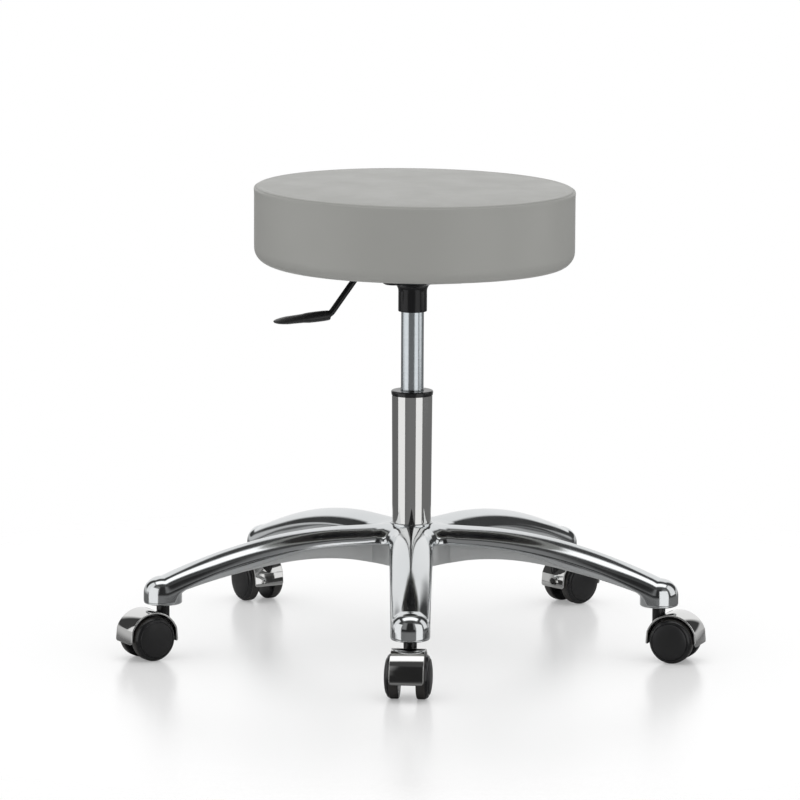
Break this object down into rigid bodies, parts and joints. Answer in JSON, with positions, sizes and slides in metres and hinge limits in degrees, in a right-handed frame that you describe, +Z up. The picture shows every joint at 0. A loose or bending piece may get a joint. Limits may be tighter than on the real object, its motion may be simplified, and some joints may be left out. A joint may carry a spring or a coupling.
{
  "type": "swivel stool",
  "caption": "Round padded swivel stool on a gas spring with a release lever, over a polished star base with hooded casters.",
  "frame": {"origin": "on the floor, under the middle of the stool's bounding box; the column stands 30 mm behind it", "axes": "+Z up; -Y towards the front arm, which faces the camera; +X to the stool's right in the picture"},
  "size_m": [0.7206, 0.6886, 0.5704],
  "materials": {
    "vinyl": "smooth satin vinyl",
    "foam": "moulded foam",
    "plywood": "plywood stained black",
    "black_steel": "glossy black paint",
    "black_nylon": "glossy black nylon",
    "black_plastic": "satin black moulding",
    "chrome": "bright chrome plate",
    "polished_aluminium": "polished casting",
    "bare_steel": "ground steel",
    "zinc_steel": "zinc plate",
    "rubber": "matte rubber"
  },
  "bodies": {
    "base": {"star_base": "polished_aluminium", "outer_column": "chrome", "guide_bush": "black_plastic", "lower_race": "bare_steel", "ball_cage": "zinc_steel", "caster_stem_front": "zinc_steel", "caster_stem_right": "zinc_steel", "caster_stem_back_right": "zinc_steel", "caster_stem_back_left": "zinc_steel", "caster_stem_left": "zinc_steel"},
    "spindle": {"piston_rod": "chrome", "piston": "black_plastic", "upper_race": "bare_steel", "rubber_buffer": "rubber", "clip_washer": "zinc_steel", "retaining_clip": "bare_steel"},
    "seat": {"gas_cylinder": "bare_steel", "rod_seal": "rubber", "seat_holder": "black_steel", "seat_tray": "black_steel", "tray_bolt_front_right": "zinc_steel", "tray_bolt_front_left": "zinc_steel", "tray_bolt_back_right": "zinc_steel", "tray_bolt_back_left": "zinc_steel", "lever_bracket": "black_steel", "lever_pin": "zinc_steel", "seat_board": "plywood", "seat_foam": "foam", "seat_cover": "vinyl"},
    "lever": {"lever_rod": "black_steel", "lever_paddle": "black_plastic"},
    "valve": {"valve_pin": "bare_steel"},
    "caster_front": {"caster_body_front": "black_nylon", "caster_hood_front": "chrome", "caster_axle_front": "zinc_steel"},
    "wheel_a_front": {"wheel_a_front": "black_nylon"},
    "wheel_b_front": {"wheel_b_front": "black_nylon"},
    "caster_right": {"caster_body_right": "black_nylon", "caster_hood_right": "chrome", "caster_axle_right": "zinc_steel"},
    "wheel_a_right": {"wheel_a_right": "black_nylon"},
    "wheel_b_right": {"wheel_b_right": "black_nylon"},
    "caster_back_right": {"caster_body_back_right": "black_nylon", "caster_hood_back_right": "chrome", "caster_axle_back_right": "zinc_steel"},
    "wheel_a_back_right": {"wheel_a_back_right": "black_nylon"},
    "wheel_b_back_right": {"wheel_b_back_right": "black_nylon"},
    "caster_back_left": {"caster_body_back_left": "black_nylon", "caster_hood_back_left": "chrome", "caster_axle_back_left": "zinc_steel"},
    "wheel_a_back_left": {"wheel_a_back_left": "black_nylon"},
    "wheel_b_back_left": {"wheel_b_back_left": "black_nylon"},
    "caster_left": {"caster_body_left": "black_nylon", "caster_hood_left": "chrome", "caster_axle_left": "zinc_steel"},
    "wheel_a_left": {"wheel_a_left": "black_nylon"},
    "wheel_b_left": {"wheel_b_left": "black_nylon"}
  },
  "joints": [
    {"name": "seat_swivel", "type": "hinge", "parent": "base", "child": "spindle", "pos_m": [-0.00039, 0.02977, 0.10606], "axis": [0, 0, 1], "continuous": true},
    {"name": "seat_lift", "type": "slide", "parent": "spindle", "child": "seat", "axis": [0, 0, 1], "range_m": [-0.08, 0.045]},
    {"name": "lever_lift", "type": "hinge", "parent": "seat", "child": "lever", "pos_m": [-0.02174, 0.02445, 0.46006], "axis": [-0.2419, 0.9703, 0], "range_deg": [0, 6], "stiffness_Nm_per_rad": 4},
    {"name": "valve_press", "type": "slide", "parent": "seat", "child": "valve", "axis": [0, 0, 1], "range_m": [-0.004, 0]},
    {"name": "caster_swivel_front", "type": "hinge", "parent": "base", "child": "caster_front", "pos_m": [-0.00039, -0.28823, 0.06686], "axis": [0, 0, 1], "continuous": true},
    {"name": "wheel_spin_a_front", "type": "hinge", "parent": "caster_front", "child": "wheel_a_front", "pos_m": [-0.00231, -0.31015, 0.02716], "axis": [0.9962, -0.0872, 0], "continuous": true},
    {"name": "wheel_spin_b_front", "type": "hinge", "parent": "caster_front", "child": "wheel_b_front", "pos_m": [-0.00231, -0.31015, 0.02716], "axis": [0.9962, -0.0872, 0], "continuous": true},
    {"name": "caster_swivel_right", "type": "hinge", "parent": "base", "child": "caster_right", "pos_m": [0.30205, -0.0685, 0.06686], "axis": [0, 0, 1], "continuous": true},
    {"name": "wheel_spin_a_right", "type": "hinge", "parent": "caster_right", "child": "wheel_a_right", "pos_m": [0.32272, -0.07602, 0.02716], "axis": [0.342, 0.9397, 0], "continuous": true},
    {"name": "wheel_spin_b_right", "type": "hinge", "parent": "caster_right", "child": "wheel_b_right", "pos_m": [0.32272, -0.07602, 0.02716], "axis": [0.342, 0.9397, 0], "continuous": true},
    {"name": "caster_swivel_back_right", "type": "hinge", "parent": "base", "child": "caster_back_right", "pos_m": [0.18653, 0.28704, 0.06686], "axis": [0, 0, 1], "continuous": true},
    {"name": "wheel_spin_a_back_right", "type": "hinge", "parent": "caster_back_right", "child": "wheel_a_back_right", "pos_m": [0.20313, 0.30147, 0.02716], "axis": [-0.6561, 0.7547, 0], "continuous": true},
    {"name": "wheel_spin_b_back_right", "type": "hinge", "parent": "caster_back_right", "child": "wheel_b_back_right", "pos_m": [0.20313, 0.30147, 0.02716], "axis": [-0.6561, 0.7547, 0], "continuous": true},
    {"name": "caster_swivel_back_left", "type": "hinge", "parent": "base", "child": "caster_back_left", "pos_m": [-0.1873, 0.28704, 0.06686], "axis": [0, 0, 1], "continuous": true},
    {"name": "wheel_spin_a_back_left", "type": "hinge", "parent": "caster_back_left", "child": "wheel_a_back_left", "pos_m": [-0.19864, 0.30589, 0.02716], "axis": [-0.8572, -0.515, 0], "continuous": true},
    {"name": "wheel_spin_b_back_left", "type": "hinge", "parent": "caster_back_left", "child": "wheel_b_back_left", "pos_m": [-0.19864, 0.30589, 0.02716], "axis": [-0.8572, -0.515, 0], "continuous": true},
    {"name": "caster_swivel_left", "type": "hinge", "parent": "base", "child": "caster_left", "pos_m": [-0.30282, -0.0685, 0.06686], "axis": [0, 0, 1], "continuous": true},
    {"name": "wheel_spin_a_left", "type": "hinge", "parent": "caster_left", "child": "wheel_a_left", "pos_m": [-0.32188, -0.0795, 0.02716], "axis": [0.5, -0.866, 0], "continuous": true},
    {"name": "wheel_spin_b_left", "type": "hinge", "parent": "caster_left", "child": "wheel_b_left", "pos_m": [-0.32188, -0.0795, 0.02716], "axis": [0.5, -0.866, 0], "continuous": true}
  ],
  "couplings": [
    {"joint": "valve_press", "follows": "lever_lift", "m_per_rad": -0.027}
  ]
}
